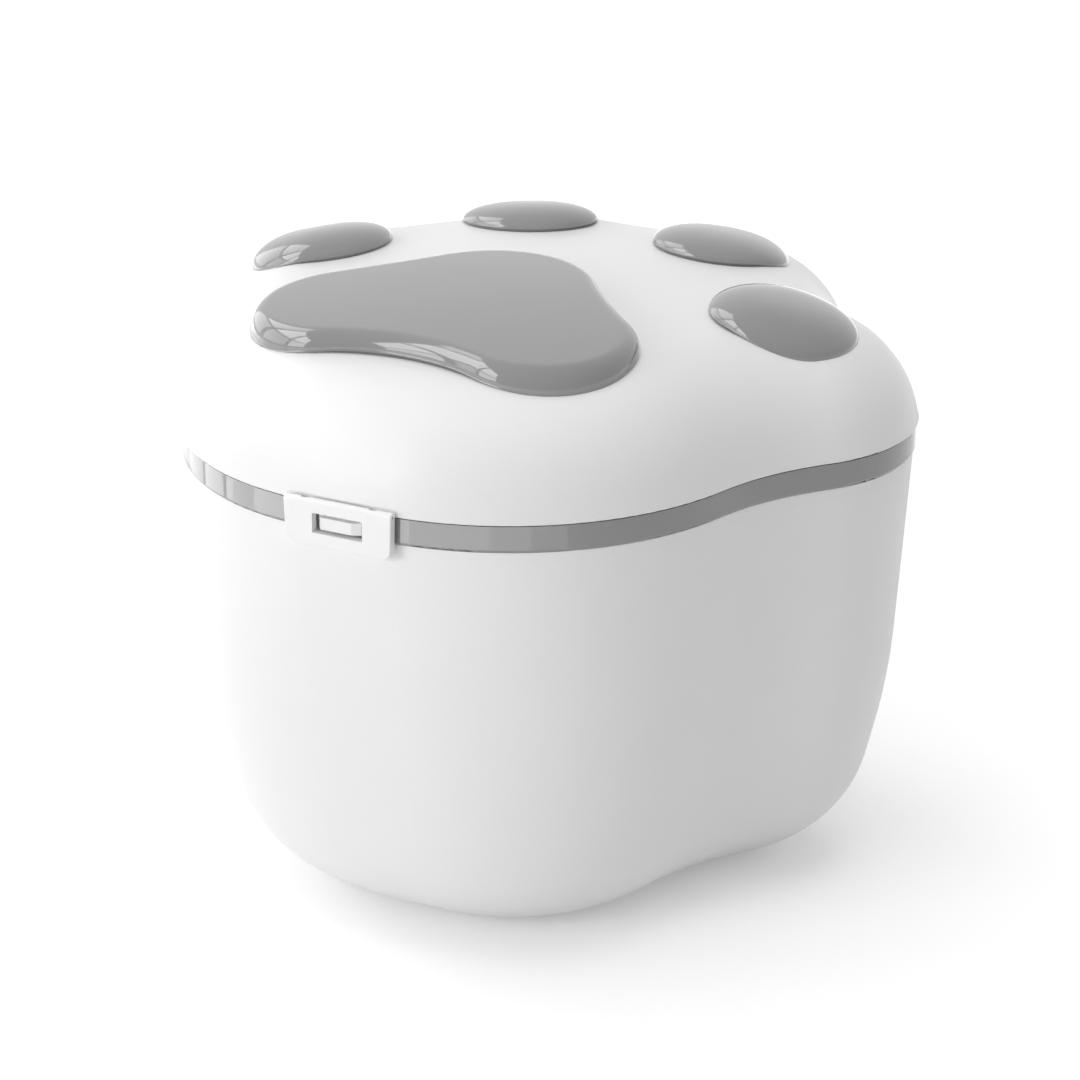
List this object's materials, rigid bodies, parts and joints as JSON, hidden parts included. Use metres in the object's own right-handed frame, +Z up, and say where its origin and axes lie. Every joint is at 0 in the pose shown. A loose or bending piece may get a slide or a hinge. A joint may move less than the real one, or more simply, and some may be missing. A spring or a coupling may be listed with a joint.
{
  "type": "pet food bin",
  "caption": "Paw-shaped plastic food bin with a tapered tub, a glossy rim band, a hinged domed lid carrying raised paw pads, and a front swing clasp.",
  "frame": {"origin": "on the floor under the middle of the bin's overall width and depth", "axes": "+Z up, +Y from the clasp at the front to the hinge at the rear, +X to the right of someone facing the clasp"},
  "size_m": [0.3016, 0.2924, 0.24],
  "materials": {
    "white_plastic": "satin moulded polypropylene",
    "grey_gloss_plastic": "polished grey ABS",
    "seal_silicone": "soft translucent silicone",
    "pin_steel": "drawn stainless wire",
    "screw_steel": "zinc-plated steel"
  },
  "bodies": {
    "bin": {"tub": "white_plastic", "rim_collar": "grey_gloss_plastic", "latch_keeper": "white_plastic", "hinge_pin": "pin_steel"},
    "lid": {"lid_shell": "white_plastic", "lid_liner": "white_plastic", "lid_seal": "seal_silicone", "liner_screws": "screw_steel", "heel_pad": "grey_gloss_plastic", "toe_pad_outer_left": "grey_gloss_plastic", "toe_pad_inner_left": "grey_gloss_plastic", "toe_pad_inner_right": "grey_gloss_plastic", "toe_pad_outer_right": "grey_gloss_plastic", "pad_retainers": "screw_steel", "clasp_pin": "pin_steel"},
    "clasp": {"clasp": "white_plastic"}
  },
  "joints": [
    {"name": "lid_hinge", "type": "hinge", "parent": "bin", "child": "lid", "pos_m": [0, 0.1409, 0.1852], "axis": [-1, 0, 0], "range_deg": [0, 105]},
    {"name": "clasp_pivot", "type": "hinge", "parent": "lid", "child": "clasp", "pos_m": [0, -0.14445, 0.18615], "axis": [-1, 0, 0], "range_deg": [0, 60]}
  ]
}
